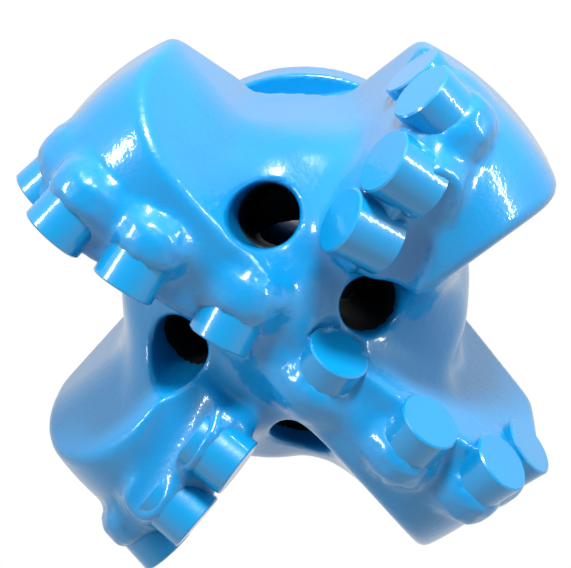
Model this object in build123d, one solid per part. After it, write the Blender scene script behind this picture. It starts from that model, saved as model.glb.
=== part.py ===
"""Fixed-cutter drill bit with four straight blades and a tapered pin.

Units are millimetres. Z is the bit's own axis, with the cutting crown up and the pin's
end face on Z = 0. X and Y run along the junk slots, and the blades lie between them.
"""
import math
import os

from build123d import *

# ---- gauge and lengths along the axis ------------------------------------------------
GAUGE_DIA = 180.98           # hole size: the gauge cutters' edges lie on it
PIN_LENGTH = 95.25           # tapered pin, from its end face to the make-up shoulder
SHANK_LENGTH = 86.75         # make-up shoulder to the hub's front edge
CROWN_HEIGHT = 37.0          # hub's front edge to the crown's reference level

# ---- pin and shank -------------------------------------------------------------------
PIN_BASE_DIA = 88.9
PIN_TAPER = 0.25             # loss of diameter per length
PIN_END_CHAMFER = 3.0
RELIEF_LENGTH = 12.7         # plain length between the thread and the shoulder
RELIEF_DEPTH = 2.0
SHANK_DIA = 104.4
SHOULDER_BEVEL = 1.6
BREAKER_WIDTH = 26.0         # breaker slots: their height along the axis
BREAKER_FLATS = 92.0         # distance across the two slot floors
BREAKER_RISE = 14.0          # make-up shoulder to the slots' lower edge

# ---- hub and waterways ---------------------------------------------------------------
DOME_DEPTH = 16.0            # hub's front curve starts this far below its edge level
DOME_RISE = 21.0             # and ends this far above it, on the axis
DOME_CURVE = ((1.0, 0.0), (0.93, 0.38), (0.62, 0.8), (0.3, 0.96), (0.0, 1.0))
BORE_DIA = 38.0              # central bore up through the pin
BORE_ROOF = 18.0             # bore's end below the hub's front edge
PORT_DIA = 19.0
PORT_RADII = (26.4, 38.1, 35.8, 35.8)    # ports' axes at the hub's top level, from the bit's
PORT_TURNS = (10.6, 0.0, 0.0, -5.0)      # degrees that each port is turned round the bit
PORT_TILT = 20.0             # lean of the ports away from the bit's axis

# ---- blades --------------------------------------------------------------------------
FIRST_BLADE = 45.0
BLADE_STEP = 90.0
INNER_ENDS = (30.5, 8.0, 26.0, 2.0)      # each blade's inner end, out from the axis
FACE_OFFSETS = (11.0, 8.0, 8.0, 7.0)     # front faces, ahead of the line through the axis
FACE_DRAFT = 4.0             # degrees that the front face spreads towards the pin
BACK_OFFSET = 9.1            # back face behind the same line, at the axis and the crown
BACK_FLARE = 16.4            # degrees that the back face opens outwards
BACK_DRAFT = 20.0            # and towards the pin
BACK_DEPTHS = (24.0, 42.0, 36.0, 40.0)   # where that draft ends, below the crown level
BLADE_FOOT = 9.0             # how far the blades' lower ends reach into the shank
SKIRT_SLOPE = 45.0           # ramps between the blades and the hub's front
SKIRT_TOP = 6.0              # ramps' top below the crown's reference level, at the axis
SKIRT_FALL = 22.0            # fall of the ramps' top outwards, in degrees
SKIRT_INSET = 0.5            # ramps' outer end inside the shank's surface
INNER_END_ROUND = 6.0
GAUGE_SETBACK = 2.0          # blade's gauge face inside the gauge circle
GAUGE_LENGTH = 31.0          # straight part of the gauge face
TAIL_SLOPE = 40.0            # degrees between the blade's lower end and the axis

# ---- crown line: heights of the cutters' centres --------------------------------------
NOSE_RADIUS = 52.0
CONE_FALL = 0.0039           # drop per square of the distance inside the nose
SHOULDER_FALL = 0.00048      # drop per cube of the distance outside it
CROWN_SETBACK = 1.8          # blade's crown surface below the cutters' centre line

# ---- cutters -------------------------------------------------------------------------
CUTTER_DIA = 19.05
CUTTER_LENGTH = 16.3
CUTTER_CHAMFER = 0.5
BRAZE_GAP = 0.05
BACK_RAKE = 17.0
FACE_LEAD = 0.6              # cutter faces ahead of the blade's front face
BOSS_WALL = 1.5              # body metal round the rear of each cutter
BOSS_START = 10.0            # cutter's face to the front of its boss
BOSS_TAIL = 5.5              # boss behind the cutter's rear face
CUTTER_RADII = (
    (42.8, 63.0, 81.8),
    (18.2, 50.0, 74.0),
    (38.3, 60.9, 81.0),
    (12.5, 44.9, 70.9),
)
GAUGE_DROPS = (35.0, 25.5, 35.0, 23.0)   # gauge cutters below the crown's reference level
GAUGE_LEANS = (86.0, 60.0, 86.0, 58.0)   # tilt of their tips out from the axis
BLADE_NAMES = ("a", "b", "c", "d")
SPOT_NAMES = ("cone", "nose", "shoulder", "gauge")

# ---- levels and radii that follow ------------------------------------------------------
HUB_EDGE_Z = PIN_LENGTH + SHANK_LENGTH
CROWN_Z = HUB_EDGE_Z + CROWN_HEIGHT
GAUGE_RADIUS = GAUGE_DIA / 2
PAD_RADIUS = GAUGE_RADIUS - GAUGE_SETBACK
SHANK_RADIUS = SHANK_DIA / 2
CUTTER_RADIUS = CUTTER_DIA / 2
SKY = GAUGE_DIA              # reach of the cutting forms beyond the part


def crown_height(radius):
    """Height of the cutters' centres: a shallow cone, then a shoulder outside the nose."""
    reach = radius - NOSE_RADIUS
    if reach > 0:
        return CROWN_Z - SHOULDER_FALL * reach ** 3
    return CROWN_Z - CONE_FALL * reach ** 2


def crown_lean(radius):
    """Degrees that the crown's normal leans out from the axis."""
    reach = radius - NOSE_RADIUS
    slope = 3 * SHOULDER_FALL * reach ** 2 if reach > 0 else 2 * CONE_FALL * reach
    return math.degrees(math.atan(slope))


def tangent(degrees):
    return math.tan(math.radians(degrees))


def at_blade(index, shape):
    return Rot(0, 0, FIRST_BLADE + index * BLADE_STEP) * shape


def cutter_planes(index):
    """Face planes of one blade's cutters, with the blade along +X and Z out of the face."""
    spots = [(r, crown_height(r), crown_lean(r)) for r in CUTTER_RADII[index]]
    gauge_tip = CUTTER_RADIUS * math.cos(math.radians(BACK_RAKE))
    gauge_lean = GAUGE_LEANS[index]
    gauge_r = GAUGE_RADIUS - gauge_tip * math.sin(math.radians(gauge_lean))
    spots.append((gauge_r, CROWN_Z - GAUGE_DROPS[index], gauge_lean))
    planes = []
    for radius, height, lean in spots:
        out = Vector(math.sin(math.radians(lean)), 0, math.cos(math.radians(lean)))
        rake = math.radians(BACK_RAKE)
        normal = Vector(0, 1, 0) * math.cos(rake) + out * math.sin(rake)
        front = FACE_OFFSETS[index] + FACE_LEAD
        front += (CROWN_Z - height) * tangent(FACE_DRAFT)
        planes.append(Plane(Vector(radius, front, height),
                            x_dir=Vector(0, 1, 0).cross(out), z_dir=normal))
    return planes


def rod(radius, start, length):
    """Cylinder that runs back from a cutter's face plane."""
    return Pos(0, 0, -start - length / 2) * Cylinder(radius, length)


# ---- turned body: pin, shank and hub ---------------------------------------------------
def turned_core():
    base_r = PIN_BASE_DIA / 2
    end_r = base_r - PIN_LENGTH * PIN_TAPER / 2
    relief_z = PIN_LENGTH - RELIEF_LENGTH
    relief_top_r = end_r + relief_z * PIN_TAPER / 2
    relief_r = relief_top_r - RELIEF_DEPTH
    dome_low = HUB_EDGE_Z - DOME_DEPTH
    dome = [(SHANK_RADIUS * share, dome_low + (DOME_DEPTH + DOME_RISE) * rise)
            for share, rise in DOME_CURVE]
    corners = [
        (0, 0),
        (end_r - PIN_END_CHAMFER, 0),
        (end_r + PIN_END_CHAMFER * PIN_TAPER / 2, PIN_END_CHAMFER),
        (relief_top_r, relief_z),
        (relief_r, relief_z + RELIEF_DEPTH),
        (relief_r, PIN_LENGTH),
        (SHANK_RADIUS - SHOULDER_BEVEL, PIN_LENGTH),
        (SHANK_RADIUS, PIN_LENGTH + SHOULDER_BEVEL),
        dome[0],
    ]

    def at(point):
        return (point[0], 0, point[1])

    runs = [Line(at(a), at(b)) for a, b in zip(corners, corners[1:])]
    runs.append(Spline(*[at(p) for p in dome], tangents=[(0, 0, 1), (-1, 0, 0)]))
    runs.append(Line(at(dome[-1]), at((0, 0))))
    return revolve(make_face(Wire(runs)), Axis.Z)


# ---- blades --------------------------------------------------------------------------
def crown_form():
    """Turned solid whose outside is the blades' crown, gauge face and lower end."""
    radii = [0, 18, 36, NOSE_RADIUS, 64, 75, PAD_RADIUS]
    crown = [(r, 0, crown_height(r) - CROWN_SETBACK) for r in radii]
    pad_top = crown[-1][2]
    pad_low = pad_top - GAUGE_LENGTH
    foot_r = SHANK_RADIUS - BLADE_FOOT
    foot_z = pad_low - (PAD_RADIUS - foot_r) / tangent(TAIL_SLOPE)
    runs = [
        Spline(*crown),
        Line((PAD_RADIUS, 0, pad_top), (PAD_RADIUS, 0, pad_low)),
        Line((PAD_RADIUS, 0, pad_low), (foot_r, 0, foot_z)),
        Line((foot_r, 0, foot_z), (0, 0, foot_z)),
        Line((0, 0, foot_z), crown[0]),
    ]
    return revolve(make_face(Wire(runs)), Axis.Z)


def cut_by(solid, planes):
    for plane in planes:
        solid = split(solid, bisect_by=plane, keep=Keep.BOTTOM)
    return solid


def upright_block(inner):
    """Block from a blade's inner end outwards, from the make-up shoulder to the crown."""
    height = SHANK_LENGTH + CROWN_HEIGHT + CROWN_SETBACK
    return Pos(inner, 0, PIN_LENGTH) * Box(SKY, 2 * SKY, height,
                                           align=(Align.MIN, Align.CENTER, Align.MIN))


def blade_slab(index):
    """Slab between a blade's front and back faces, with the blade along +X."""
    inner = INNER_ENDS[index]
    front = Plane(Vector(0, FACE_OFFSETS[index], CROWN_Z),
                  z_dir=Vector(0, 1, tangent(FACE_DRAFT)))
    back = Plane(Vector(0, -BACK_OFFSET, CROWN_Z),
                 z_dir=Vector(-tangent(BACK_FLARE), -1, tangent(BACK_DRAFT)))
    widest = BACK_OFFSET + BACK_DEPTHS[index] * tangent(BACK_DRAFT)
    foot = Plane(Vector(0, -widest, CROWN_Z), z_dir=Vector(-tangent(BACK_FLARE), -1, 0))
    slab = cut_by(upright_block(inner), (front, back, foot))
    inner_edges = [e for e in slab.edges()
                   if e.bounding_box().max.X < inner + 0.01
                   and e.bounding_box().size.Z > CROWN_HEIGHT]
    return fillet(inner_edges, INNER_END_ROUND)


def blade_skirt(index):
    """Ramps that widen a blade's root where it stands on the hub's front."""
    ramp = tangent(SKIRT_SLOPE)
    fall = tangent(SKIRT_FALL)
    top_z = CROWN_Z - SKIRT_TOP
    inner = INNER_ENDS[index]
    ahead = FACE_OFFSETS[index] + SKIRT_TOP * tangent(FACE_DRAFT)
    behind = BACK_OFFSET + SKIRT_TOP * tangent(BACK_DRAFT)
    spread = tangent(BACK_FLARE) + fall * tangent(BACK_DRAFT)
    front = Plane(Vector(0, ahead, top_z), z_dir=Vector(fall * ramp, 1, ramp))
    back = Plane(Vector(0, -behind, top_z), z_dir=Vector(fall * ramp - spread, -1, ramp))
    end = Plane(Vector(inner, 0, top_z - inner * fall), z_dir=Vector(-1, 0, ramp))
    reach = Cylinder(SHANK_RADIUS - SKIRT_INSET, 2 * CROWN_Z)
    return cut_by(upright_block(-SHANK_RADIUS), (front, back, end)) & reach


def boss(plane):
    """Rounded boss round the rear of one crown cutter."""
    length = CUTTER_LENGTH + BOSS_TAIL - BOSS_START
    outer = CUTTER_RADIUS + BOSS_WALL
    blank = rod(outer, BOSS_START, length)
    rear = blank.edges().filter_by(GeomType.CIRCLE).sort_by(Axis.Z)[0]
    return plane * fillet(rear, BOSS_TAIL)


def port(index):
    """One waterway, from the hub's front down into the central bore."""
    tilt = math.radians(PORT_TILT)
    mouth = Vector(PORT_RADII[index], 0, HUB_EDGE_Z + DOME_RISE)
    way = Vector(math.sin(tilt), 0, math.cos(tilt))
    foot = mouth - way * ((DOME_RISE + BORE_ROOF + PORT_DIA / 2) / math.cos(tilt))
    length = (mouth - foot).length + PORT_DIA
    tube = Plane(foot, z_dir=way) * Cylinder(
        PORT_DIA / 2, length, align=(Align.CENTER, Align.CENTER, Align.MIN))
    return Rot(0, 0, index * BLADE_STEP + PORT_TURNS[index]) * tube


def breaker_slot(side):
    """Flat-floored slot across one side of the shank, for the breaker plate."""
    low = PIN_LENGTH + BREAKER_RISE
    return Pos(0, side * (BREAKER_FLATS / 2 + SKY / 2), low + BREAKER_WIDTH / 2) * Box(
        SHANK_DIA, SKY, BREAKER_WIDTH)


def make_body(planes):
    form = crown_form()
    body = turned_core()
    longest_first = sorted(range(len(INNER_ENDS)), key=lambda index: INNER_ENDS[index])
    for index in longest_first:
        blade = (blade_slab(index) + blade_skirt(index)) & form
        for face in planes[index][:-1]:
            blade += boss(face)
        body += at_blade(index, blade)
    for index, faces in enumerate(planes):
        for face in faces:
            depth = CUTTER_LENGTH + BRAZE_GAP
            pocket = rod(CUTTER_RADIUS + BRAZE_GAP, -CUTTER_DIA, CUTTER_DIA + depth)
            body -= at_blade(index, face * pocket)
    for index in range(len(INNER_ENDS)):
        body -= port(index)
    bore_top = HUB_EDGE_Z - BORE_ROOF
    body -= Cylinder(BORE_DIA / 2, bore_top, align=(Align.CENTER, Align.CENTER, Align.MIN))
    for side in (-1, 1):
        body -= breaker_slot(side)
    return body


def make_cutter(face):
    cutter = rod(CUTTER_RADIUS, 0, CUTTER_LENGTH)
    return face * chamfer(cutter.edges().filter_by(GeomType.CIRCLE), CUTTER_CHAMFER)


def main():
    os.makedirs("parts", exist_ok=True)
    planes = [cutter_planes(index) for index in range(len(INNER_ENDS))]
    export_step(make_body(planes), "parts/bit_body.step")
    for index, faces in enumerate(planes):
        for spot, face in zip(SPOT_NAMES, faces):
            name = f"cutter_{BLADE_NAMES[index]}_{spot}"
            export_step(at_blade(index, make_cutter(face)), f"parts/{name}.step")


main()
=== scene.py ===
"""Looks of the fixed-cutter drill bit: rounded painted head, threaded pin, light and camera."""
import math

import bpy
import numpy as np
from mathutils import Matrix


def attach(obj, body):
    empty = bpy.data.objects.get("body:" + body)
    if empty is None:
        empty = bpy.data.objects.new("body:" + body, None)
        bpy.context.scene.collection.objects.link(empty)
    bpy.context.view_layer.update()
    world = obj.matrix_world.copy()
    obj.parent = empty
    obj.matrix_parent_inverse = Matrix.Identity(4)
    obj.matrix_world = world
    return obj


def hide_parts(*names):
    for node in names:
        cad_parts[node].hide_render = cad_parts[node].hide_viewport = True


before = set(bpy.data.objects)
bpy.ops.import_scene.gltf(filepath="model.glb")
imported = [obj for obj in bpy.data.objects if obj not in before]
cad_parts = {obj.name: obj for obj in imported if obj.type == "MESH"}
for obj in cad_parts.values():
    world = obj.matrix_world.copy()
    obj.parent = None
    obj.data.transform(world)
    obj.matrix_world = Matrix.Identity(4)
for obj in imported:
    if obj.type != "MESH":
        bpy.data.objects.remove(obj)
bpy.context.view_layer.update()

# ---- sizes of the part, in millimetres -------------------------------------------------
MM = 0.001
PIN_LENGTH = 95.25
PIN_BASE_RADIUS = 44.45
PIN_TAPER = 0.25
PIN_END_CHAMFER = 3.0
RELIEF_LENGTH = 12.7
RELIEF_DEPTH = 2.0
BORE_RADIUS = 19.0
BORE_TOP = 164.0
PORT_FOOT = 8.0                  # ports' lower ends, below the bore's roof
SHANK_RADIUS = 52.2
DOME_LOW = 166.0
DOME_HEIGHT = 37.0
CROWN_Z = 219.0
BREAKER_LOW = 109.25
BREAKER_HEIGHT = 26.0
BREAKER_HALF = 46.0
PORT_RADIUS = 9.5
PORT_RADII = (26.4, 38.1, 35.8, 35.8)
PORT_TURNS = (10.6, 0.0, 0.0, -5.0)
PORT_TOP = 203.0                 # level at which the radii hold
PORT_TILT = math.radians(20)
GAUGE_RADIUS = 90.49
PAD_RADIUS = 88.49
GAUGE_LENGTH = 31.0
TAIL_SLOPE = math.radians(40)
FIRST_BLADE = 45.0
BLADE_STEP = 90.0
JOIN_ORDER = (3, 1, 2, 0)        # blades, the longest first
INNER_ENDS = (30.5, 8.0, 26.0, 2.0)
FACE_OFFSETS = (11.0, 8.0, 8.0, 7.0)
FACE_DRAFT = math.radians(4)
BACK_OFFSET = 9.1
BACK_FLARE = math.radians(16.4)
BACK_DRAFT = math.radians(20)
BACK_DEPTHS = (24.0, 42.0, 36.0, 40.0)
NOSE_RADIUS = 52.0
CONE_FALL = 0.0039
SHOULDER_FALL = 0.00048
CROWN_SETBACK = 1.8
SKIRT_TOP = 6.0
SKIRT_FALL = math.radians(22)
SKIRT_INSET = 2.0                # ramps' outer end inside the shank's surface
CUTTER_RADIUS = 9.525
BACK_RAKE = math.radians(17)
FACE_LEAD = 0.6
CUTTER_RADII = ((42.8, 63.0, 81.8), (18.2, 50.0, 74.0), (38.3, 60.9, 81.0), (12.5, 44.9, 70.9))
GAUGE_DROPS = (35.0, 25.5, 35.0, 23.0)
GAUGE_LEANS = (86.0, 60.0, 86.0, 58.0)

# ---- rounding of the painted surface, in millimetres -----------------------------------
CELL = 1.3                       # grid of the computed surface
ROOT_BLEND = 10.0                # blades into the hub
SKIRT_BLEND = 8.0
EDGE_BLEND = 3.2                 # blades' own edges
CROWN_BLEND = 5.0
END_BLEND = 11.0                 # blades' inner ends
BOSS_RADIUS = 11.2
BOSS_FRONT = 8.5                 # behind the cutter's face
BOSS_REAR = 22.5
BOSS_ROUND = 5.5
BOSS_BLEND = 5.0
SCOOP_RADIUS = 10.0              # clearance ahead of each cutter's face
SCOOP_DEPTH = 1.2                # and how far it starts behind the face
SKIRT_EDGE = 6.0
SCOOP_EDGE = 1.4
PORT_EDGE = 1.8
BREAKER_EDGE = 0.8
SHOULDER_EDGE = 2.4
LUMP_HEIGHT = 0.42               # unevenness of the braze round the cutters
LUMP_REACH = 6.0
FAR = 1e3                        # stands for a distance that nothing reaches
GRID_REACH = 92.3                # half width of the grid
GRID_BELOW = 2.1                 # its start below the make-up shoulder
GRID_HEIGHT = 138.0
NEWTON_STEPS = 3
PROBE = 0.1                      # step for the slope of a distance
LONGEST_MOVE = 0.5
PAINTED_DEPTH = 2.2              # paint's reach into the ports
WALL_TOUCH = 0.7                 # faces this near a wall belong to it

# ---- thread ----------------------------------------------------------------------------
THREAD_PITCH = 5.08
THREAD_DEPTH = 2.6
THREAD_STEEPNESS = 1.25
THREAD_CREST = 0.12              # share of the groove's depth taken by the flat crest
THREAD_FADE = 6.0                # length over which the groove runs out


def blend_min(a, b, width):
    """Smooth union of two distances: min(a, b) less a quarter of width where they are equal."""
    share = np.clip(0.5 + 0.5 * (b - a) / width, 0, 1)
    return b + (a - b) * share - width * share * (1 - share)


def blend_max(a, b, width):
    return -blend_min(-a, -b, width)


def crown_height(radius):
    """Cutters' centre height: a parabola inside the nose, a cubic fall outside it."""
    reach = radius - NOSE_RADIUS
    return CROWN_Z - np.where(reach > 0, SHOULDER_FALL * reach ** 3, CONE_FALL * reach ** 2)


def crown_slope(radius):
    reach = radius - NOSE_RADIUS
    return np.where(reach > 0, 3 * SHOULDER_FALL * reach ** 2, 2 * CONE_FALL * reach)


def cutter_frames(index):
    """(centre, forward direction) of one blade's cutter faces, with the blade along +X."""
    spots = [(r, float(crown_height(r)), math.atan(float(crown_slope(r))))
             for r in CUTTER_RADII[index]]
    lean = math.radians(GAUGE_LEANS[index])
    tip = CUTTER_RADIUS * math.cos(BACK_RAKE)
    spots.append((GAUGE_RADIUS - tip * math.sin(lean), CROWN_Z - GAUGE_DROPS[index], lean))
    frames = []
    for radius, height, lean in spots:
        out = np.array((math.sin(lean), 0, math.cos(lean)))
        ahead = np.array((0, 1, 0)) * math.cos(BACK_RAKE) + out * math.sin(BACK_RAKE)
        front = FACE_OFFSETS[index] + FACE_LEAD + (CROWN_Z - height) * math.tan(FACE_DRAFT)
        frames.append((np.array((radius, front, height)), ahead))
    return frames


def hub(r, z):
    """Distance to the shank's cylinder with a half-ellipsoid on top."""
    up = z - DOME_LOW
    k0 = np.hypot(r / SHANK_RADIUS, up / DOME_HEIGHT)
    k1 = np.hypot(r / SHANK_RADIUS ** 2, up / DOME_HEIGHT ** 2)
    dome = k0 * (k0 - 1) / np.maximum(k1, 1e-6)
    return np.where(up > 0, dome, r - SHANK_RADIUS)


def blade(x, y, z, r, index):
    """Smooth intersection of the blade's faces: front, back, inner end, crown, pad, tail."""
    drop = CROWN_Z - z
    front = (y - FACE_OFFSETS[index] - drop * math.tan(FACE_DRAFT)) * math.cos(FACE_DRAFT)
    flare, draft = math.tan(BACK_FLARE), math.tan(BACK_DRAFT)
    back = (-y - BACK_OFFSET - x * flare - drop * draft) / math.hypot(1, flare, draft)
    foot = (-y - BACK_OFFSET - x * flare - BACK_DEPTHS[index] * draft) / math.hypot(1, flare)
    back = blend_max(back, foot, EDGE_BLEND)
    crown = (z - crown_height(r) + CROWN_SETBACK) / np.hypot(1, crown_slope(r))
    pad_low = float(crown_height(PAD_RADIUS)) - CROWN_SETBACK - GAUGE_LENGTH
    tail = (r - PAD_RADIUS + (pad_low - z) * math.tan(TAIL_SLOPE)) * math.cos(TAIL_SLOPE)
    shape = blend_max(front, back, EDGE_BLEND)
    shape = blend_max(shape, INNER_ENDS[index] - x, END_BLEND)
    outer = blend_max(r - PAD_RADIUS, tail, EDGE_BLEND)
    outer = blend_max(outer, crown, CROWN_BLEND)
    return blend_max(shape, outer, EDGE_BLEND)


def skirt(x, y, z, r, index):
    """Ramps of 45 degrees that widen the blade's root on the hub."""
    fall = math.tan(SKIRT_FALL)
    ahead = FACE_OFFSETS[index] + SKIRT_TOP * math.tan(FACE_DRAFT)
    behind = BACK_OFFSET + SKIRT_TOP * math.tan(BACK_DRAFT)
    spread = math.tan(BACK_FLARE) + fall * math.tan(BACK_DRAFT)
    over = z - CROWN_Z + SKIRT_TOP
    front = (x * fall + y - ahead + over) / math.hypot(fall, 1, 1)
    back = (x * (fall - spread) - y - behind + over) / math.hypot(fall - spread, 1, 1)
    inner = INNER_ENDS[index]
    end = (inner - x + over + inner * fall) / math.hypot(1, 1)
    shape = blend_max(blend_max(front, back, SKIRT_EDGE), end, SKIRT_EDGE)
    return blend_max(shape, r - SHANK_RADIUS + SKIRT_INSET, SKIRT_EDGE)


def along_and_off(x, y, z, centre, ahead):
    """Distances ahead of a cutter's face and away from its axis."""
    dx, dy, dz = x - centre[0], y - centre[1], z - centre[2]
    along = dx * ahead[0] + dy * ahead[1] + dz * ahead[2]
    off = np.sqrt(np.maximum(dx * dx + dy * dy + dz * dz - along * along, 0))
    return along, off


def boss(along, off):
    """Cylinder with rounded rims behind a cutter's face."""
    half = (BOSS_REAR - BOSS_FRONT) / 2
    a = off - BOSS_RADIUS + BOSS_ROUND
    b = np.abs(along + BOSS_FRONT + half) - half + BOSS_ROUND
    outside = np.hypot(np.maximum(a, 0), np.maximum(b, 0))
    return np.minimum(np.maximum(a, b), 0) + outside - BOSS_ROUND


def ports(x, y, z):
    """Distance to the nearest of the tilted waterways."""
    nearest = np.full(np.shape(x), FAR)
    for index, (radius, extra) in enumerate(zip(PORT_RADII, PORT_TURNS)):
        turn = math.radians(BLADE_STEP * index + extra)
        out = x * math.cos(turn) + y * math.sin(turn)
        side = y * math.cos(turn) - x * math.sin(turn)
        across = (out - radius) * math.cos(PORT_TILT) - (z - PORT_TOP) * math.sin(PORT_TILT)
        nearest = np.minimum(nearest, np.hypot(across, side) - PORT_RADIUS)
    return np.maximum(nearest, BORE_TOP - PORT_FOOT - z)


def lumps(x, y, z):
    """Product of three bent sine waves, from -1 to 1, with no direction of its own."""
    return (np.sin(0.83 * x + 1.1 * np.sin(0.41 * z)) * np.sin(0.74 * y + 0.9 * np.sin(0.5 * x))
            * np.sin(0.69 * z + 0.8 * np.sin(0.47 * y)))


def head(x, y, z):
    """Signed distance to the shank, hub and blades, in millimetres."""
    r = np.hypot(x, y)
    shape = hub(r, z)
    near = np.full(np.shape(x), FAR)
    scoops = np.full(np.shape(x), FAR)
    for index in JOIN_ORDER:
        turn = math.radians(FIRST_BLADE + BLADE_STEP * index)
        u = x * math.cos(turn) + y * math.sin(turn)
        v = y * math.cos(turn) - x * math.sin(turn)
        part = blend_min(blade(u, v, z, r, index), skirt(u, v, z, r, index), SKIRT_BLEND)
        for centre, ahead in cutter_frames(index):
            along, off = along_and_off(u, v, z, centre, ahead)
            part = blend_min(part, boss(along, off), BOSS_BLEND)
            side = np.maximum(off - CUTTER_RADIUS, -along - BOSS_REAR)
            near = np.minimum(near, np.maximum(np.abs(side), along - 1))
            scoop = np.maximum(off - SCOOP_RADIUS, -along - SCOOP_DEPTH)
            scoops = np.minimum(scoops, scoop)
        shape = blend_min(shape, part, ROOT_BLEND)
    shape = shape - LUMP_HEIGHT * lumps(x, y, z) * np.clip(1 - near / LUMP_REACH, 0, 1) ** 2
    shape = blend_max(shape, -scoops, SCOOP_EDGE)
    shape = blend_max(shape, -ports(x, y, z), PORT_EDGE)
    shape = np.maximum(shape, -np.maximum(r - BORE_RADIUS, z - BORE_TOP))
    slot = np.maximum(BREAKER_HALF - np.abs(y),
                      np.abs(z - BREAKER_LOW - BREAKER_HEIGHT / 2) - BREAKER_HEIGHT / 2)
    shape = blend_max(shape, -slot, BREAKER_EDGE)
    return blend_max(shape, PIN_LENGTH - z, SHOULDER_EDGE)


def surface_nets(values, low, step):
    """Vertices and outward quads of the zero surface: one vertex in each cell that it crosses,
    at the mean of the crossings on the cell's edges."""
    cells = tuple(n - 1 for n in values.shape)
    total = np.zeros(cells + (3,))
    count = np.zeros(cells)
    inside = values < 0
    crossings = []
    for a in range(3):
        b, c = (a + 1) % 3, (a + 2) % 3
        v = np.moveaxis(values, (a, b, c), (0, 1, 2))
        i = np.moveaxis(inside, (a, b, c), (0, 1, 2))
        crossed = i[:-1] != i[1:]
        gap = np.where(crossed, v[:-1] - v[1:], 1)
        share = np.where(crossed, v[:-1] / gap, 0)
        sums = np.moveaxis(total, (a, b, c), (0, 1, 2))
        counts = np.moveaxis(count, (a, b, c), (0, 1, 2))
        start = np.arange(v.shape[0] - 1)[:, None, None]
        for db in (0, 1):
            for dc in (0, 1):
                pick = (slice(None), slice(db, v.shape[1] - 1 + db), slice(dc, v.shape[2] - 1 + dc))
                hit = crossed[pick]
                sums[..., a] += np.where(hit, start + share[pick], 0)
                sums[..., b] += np.where(hit, np.arange(v.shape[1] - 1)[None, :, None] + db, 0)
                sums[..., c] += np.where(hit, np.arange(v.shape[2] - 1)[None, None, :] + dc, 0)
                counts += hit
        crossings.append((crossed, i[:-1]))
    used = count > 0
    number = np.full(cells, -1)
    number[used] = np.arange(used.sum())
    points = low + step * total[used] / count[used][:, None]
    quads = []
    for a, (crossed, low_inside) in enumerate(crossings):
        b, c = (a + 1) % 3, (a + 2) % 3
        n = np.moveaxis(number, (a, b, c), (0, 1, 2))
        i, j, k = np.nonzero(crossed[:, 1:-1, 1:-1])
        quad = np.stack((n[i, j, k], n[i, j + 1, k], n[i, j + 1, k + 1], n[i, j, k + 1]), 1)
        flip = ~low_inside[:, 1:-1, 1:-1][i, j, k]
        quad[flip] = quad[flip][:, ::-1]
        quads.append(quad)
    return points, np.concatenate(quads)


def make_object(name, points, faces):
    mesh = bpy.data.meshes.new(name)
    mesh.from_pydata((points * MM).tolist(), [], faces.tolist())
    mesh.polygons.foreach_set("use_smooth", [True] * len(mesh.polygons))
    mesh.update()
    thing = bpy.data.objects.new(name, mesh)
    bpy.context.scene.collection.objects.link(thing)
    return thing


def head_surface():
    """Zero surface of head(), with each vertex moved onto it by Newton steps."""
    low = np.array((-GRID_REACH, -GRID_REACH, PIN_LENGTH - GRID_BELOW))
    size = np.array((2 * GRID_REACH, 2 * GRID_REACH, GRID_HEIGHT))
    steps = [np.arange(0, s, CELL) for s in size]
    x, y, z = np.meshgrid(*[low[a] + steps[a] for a in range(3)], indexing="ij")
    points, quads = surface_nets(head(x, y, z), low, CELL)
    for _ in range(NEWTON_STEPS):
        here = head(*points.T)
        slope = np.stack([(head(*(points + e).T) - head(*(points - e).T)) / (2 * PROBE)
                          for e in np.eye(3) * PROBE], 1)
        length = np.maximum((slope ** 2).sum(1), 0.25)
        move = np.clip(here / length, -LONGEST_MOVE, LONGEST_MOVE)
        points = points - slope * move[:, None]
    return points, quads


def pin_surface(turns=120, rows=260):
    """Closed tube turned about Z. Its outside is a cone less a helical groove with flat crests,
    r = cone(z) - depth * groove(z / pitch - angle), faded out below the relief."""
    end_r = PIN_BASE_RADIUS - PIN_LENGTH * PIN_TAPER / 2
    relief_z = PIN_LENGTH - RELIEF_LENGTH
    relief_r = end_r + relief_z * PIN_TAPER / 2 - RELIEF_DEPTH
    angle = np.linspace(0, 2 * np.pi, turns, endpoint=False)
    z = np.linspace(0, relief_z, rows)
    phase = np.mod(z[:, None] / THREAD_PITCH - angle[None, :] / (2 * np.pi), 1)
    tooth = np.clip(THREAD_STEEPNESS * (1 - np.abs(2 * phase - 1)) - THREAD_CREST, 0, 1)
    fade = np.clip((relief_z - z) / THREAD_FADE, 0, 1)[:, None]
    radius = (end_r + z * PIN_TAPER / 2)[:, None] - THREAD_DEPTH * tooth * fade
    chamfer = (end_r - PIN_END_CHAMFER + z * (1 + PIN_TAPER / 2))[:, None]
    radius = np.minimum(radius, chamfer)
    rings = [(z[k], radius[k]) for k in range(rows)]
    for height, r in ((relief_z + RELIEF_DEPTH, relief_r), (PIN_LENGTH + 1, relief_r),
                      (PIN_LENGTH + 1, BORE_RADIUS), (0, BORE_RADIUS)):
        rings.append((height, np.full(turns, r)))
    points = np.array([(r * math.cos(a), r * math.sin(a), height)
                       for height, ring in rings for r, a in zip(ring, angle)])
    count = len(rings)
    faces = [(k * turns + i, k * turns + (i + 1) % turns,
              (k + 1) % count * turns + (i + 1) % turns, (k + 1) % count * turns + i)
             for k in range(count) for i in range(turns)]
    return points, np.array(faces)


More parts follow.
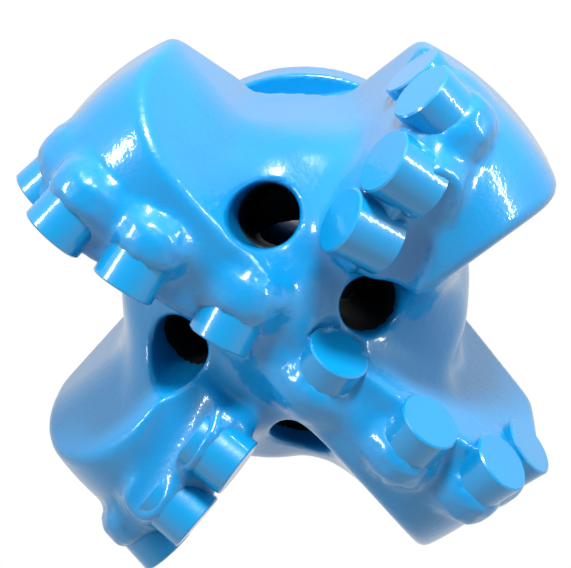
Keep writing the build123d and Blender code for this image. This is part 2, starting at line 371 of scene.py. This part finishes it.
# ---- materials -------------------------------------------------------------------------
def paint_group():
    """Glossy paint: a coloured coat with a fine orange peel and a slow drift of tone."""
    group = bpy.data.node_groups.new("gloss_paint", "ShaderNodeTree")
    face = group.interface
    face.new_socket("Colour", in_out="INPUT", socket_type="NodeSocketColor")
    face.new_socket("Peel", in_out="INPUT", socket_type="NodeSocketFloat")
    face.new_socket("Shader", in_out="OUTPUT", socket_type="NodeSocketShader")
    nodes, links = group.nodes, group.links
    inputs = nodes.new("NodeGroupInput")
    output = nodes.new("NodeGroupOutput")
    place = nodes.new("ShaderNodeTexCoord")
    shader = nodes.new("ShaderNodeBsdfPrincipled")
    shader.inputs["Roughness"].default_value = 0.34
    shader.inputs["Specular IOR Level"].default_value = 0.45
    shader.inputs["Coat Weight"].default_value = 1.0
    shader.inputs["Coat Roughness"].default_value = 0.07
    drift = nodes.new("ShaderNodeTexNoise")
    drift.inputs["Scale"].default_value = 38
    drift.inputs["Detail"].default_value = 3
    tone = nodes.new("ShaderNodeMapRange")
    tone.inputs["To Min"].default_value = 0.88
    tone.inputs["To Max"].default_value = 1.1
    mix = nodes.new("ShaderNodeMix")
    mix.data_type = "RGBA"
    mix.blend_type = "MULTIPLY"
    mix.inputs["Factor"].default_value = 1
    peel = nodes.new("ShaderNodeTexNoise")
    peel.inputs["Scale"].default_value = 520
    peel.inputs["Detail"].default_value = 2
    bump = nodes.new("ShaderNodeBump")
    bump.inputs["Distance"].default_value = 0.0006
    links.new(place.outputs["Object"], drift.inputs["Vector"])
    links.new(place.outputs["Object"], peel.inputs["Vector"])
    links.new(drift.outputs["Fac"], tone.inputs["Value"])
    links.new(inputs.outputs["Colour"], mix.inputs["A"])
    links.new(tone.outputs["Result"], mix.inputs["B"])
    links.new(mix.outputs["Result"], shader.inputs["Base Color"])
    links.new(peel.outputs["Fac"], bump.inputs["Height"])
    links.new(inputs.outputs["Peel"], bump.inputs["Strength"])
    links.new(bump.outputs["Normal"], shader.inputs["Normal"])
    links.new(bump.outputs["Normal"], shader.inputs["Coat Normal"])
    links.new(shader.outputs["BSDF"], output.inputs["Shader"])
    return group


def paint(name, colour, peel):
    material = bpy.data.materials.new(name)
    material.use_nodes = True
    nodes, links = material.node_tree.nodes, material.node_tree.links
    nodes.clear()
    coat = nodes.new("ShaderNodeGroup")
    coat.node_tree = GLOSS
    coat.inputs["Colour"].default_value = colour + (1,)
    coat.inputs["Peel"].default_value = peel
    output = nodes.new("ShaderNodeOutputMaterial")
    links.new(coat.outputs["Shader"], output.inputs["Surface"])
    return material


def bare_metal_painted_shade():
    material = bpy.data.materials.new("bore_painted_shade")
    material.use_nodes = True
    shader = material.node_tree.nodes["Principled BSDF"]
    # Near-black base colour: the bare metal of the waterways is darkened as painted shade for the
    # depths of the ports and bore.
    shader.inputs["Base Color"].default_value = (0.012, 0.016, 0.02, 1)
    shader.inputs["Metallic"].default_value = 0.3
    shader.inputs["Roughness"].default_value = 0.55
    return material


def unpainted_and_shaded(centres):
    """True for the faces of the waterways, which the paint doesn't reach; they get the near-black
    bare metal, which is painted shade for the depths of the ports and bore.
    """
    x, y, z = centres.T
    r = np.hypot(x, y)
    in_port = (np.abs(ports(x, y, z)) < WALL_TOUCH) & (hub(r, z) < -PAINTED_DEPTH)
    in_bore = (r < BORE_RADIUS + WALL_TOUCH) & (z < BORE_TOP + 1)
    return in_port | in_bore


GLOSS = paint_group()
HEAD_PAINT = paint("blue_head", (0.0, 0.25, 0.58), 0.2)
CUTTER_PAINT = paint("blue_cutter", (0.0, 0.26, 0.58), 0.1)
BARE_PAINTED_SHADE = bare_metal_painted_shade()

# ---- pieces ----------------------------------------------------------------------------
head_points, head_quads = head_surface()
bit_head = make_object("bit_head", head_points, head_quads)
bit_head.data.materials.append(HEAD_PAINT)
bit_head.data.materials.append(BARE_PAINTED_SHADE)
# Waterway faces take the near-black bare metal, which is painted shade inside the ports and bore.
bare_shaded_faces = unpainted_and_shaded(head_points[head_quads].mean(1)).astype(np.int32)
bit_head.data.polygons.foreach_set("material_index", bare_shaded_faces)
bit_pin = make_object("bit_pin", *pin_surface())
bit_pin.data.materials.append(HEAD_PAINT)
for piece in (bit_head, bit_pin):
    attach(piece, "root")
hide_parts("bit_body")
for name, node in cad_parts.items():
    if name.startswith("cutter"):
        node.data.materials.clear()
        node.data.materials.append(CUTTER_PAINT)

# ---- light, camera and output ----------------------------------------------------------
RIGHT = np.array((0.979989, -0.1917, -0.053601))
UP = np.array((0.158043, 0.913057, -0.375965))
TOWARDS = np.array((0.121013, 0.35997, 0.925082))
AIM = np.array((0.0, 0.0, 0.19))
LAMP_DISTANCE = 0.62
SIDE_LIGHT = 0.72
TOP_LIGHT = 0.12
CAMERA_PLACE = (0.048761, 0.155769, 0.561634)
LENS = 84.25


def softbox(name, across, up, towards, size, watts):
    """Rectangular lamp that looks at the crown from across, up and towards the camera's side."""
    way = across * RIGHT + up * UP + towards * TOWARDS
    way = way / np.linalg.norm(way)
    light = bpy.data.lights.new(name, "AREA")
    light.shape = "RECTANGLE"
    light.size, light.size_y = size
    light.energy = watts
    lamp = bpy.data.objects.new(name, light)
    bpy.context.scene.collection.objects.link(lamp)
    side = np.cross(UP, way)
    side = side / np.linalg.norm(side)
    over = np.cross(way, side)
    turn = Matrix([list(row) for row in np.stack((side, over, way), 1)]).to_4x4()
    lamp.matrix_world = Matrix.Translation(AIM + way * LAMP_DISTANCE) @ turn



def surround():
    """World that lights the part more from the sides than from above its crown, and that is
    plain white behind it."""
    world = bpy.data.worlds.new("surround")
    bpy.context.scene.world = world
    world.use_nodes = True
    nodes, links = world.node_tree.nodes, world.node_tree.links
    nodes.clear()
    place = nodes.new("ShaderNodeTexCoord")
    facing = nodes.new("ShaderNodeVectorMath")
    facing.operation = "DOT_PRODUCT"
    facing.inputs[1].default_value = (0.2, 0.45, 0.87)
    ramp = nodes.new("ShaderNodeMapRange")
    ramp.inputs["From Min"].default_value = 0.35
    ramp.inputs["From Max"].default_value = 1.0
    ramp.inputs["To Min"].default_value = SIDE_LIGHT
    ramp.inputs["To Max"].default_value = TOP_LIGHT
    around = nodes.new("ShaderNodeBackground")
    plain = nodes.new("ShaderNodeBackground")
    plain.inputs["Color"].default_value = (1, 1, 1, 1)
    seen = nodes.new("ShaderNodeLightPath")
    mix = nodes.new("ShaderNodeMixShader")
    output = nodes.new("ShaderNodeOutputWorld")
    links.new(place.outputs["Generated"], facing.inputs[0])
    links.new(facing.outputs["Value"], ramp.inputs["Value"])
    links.new(ramp.outputs["Result"], around.inputs["Color"])
    links.new(seen.outputs["Is Camera Ray"], mix.inputs["Fac"])
    links.new(around.outputs["Background"], mix.inputs[1])
    links.new(plain.outputs["Background"], mix.inputs[2])
    links.new(mix.outputs["Shader"], output.inputs["Surface"])


def place_camera():
    lens = bpy.data.cameras.new("camera")
    lens.sensor_width = 36
    lens.lens = LENS
    lens.clip_start = 0.01
    camera = bpy.data.objects.new("camera", lens)
    bpy.context.scene.collection.objects.link(camera)
    turn = Matrix([list(row) for row in np.stack((RIGHT, UP, TOWARDS), 1)]).to_4x4()
    camera.matrix_world = Matrix.Translation(CAMERA_PLACE) @ turn
    bpy.context.scene.camera = camera


def set_output():
    scene = bpy.context.scene
    scene.render.engine = "CYCLES"
    scene.cycles.samples = 128
    scene.cycles.use_denoising = True
    scene.render.resolution_x = 571
    scene.render.resolution_y = 568
    scene.view_settings.view_transform = "Standard"
    scene.view_settings.look = "None"


softbox("key", 0.15, 0.85, 0.75, (0.16, 0.1), 5.6)
softbox("left_fill", -0.9, 0.35, 0.6, (0.1, 0.2), 1.3)
softbox("right_strip", 0.95, 0.25, 0.5, (0.03, 0.3), 1.0)
surround()
place_camera()
set_output()
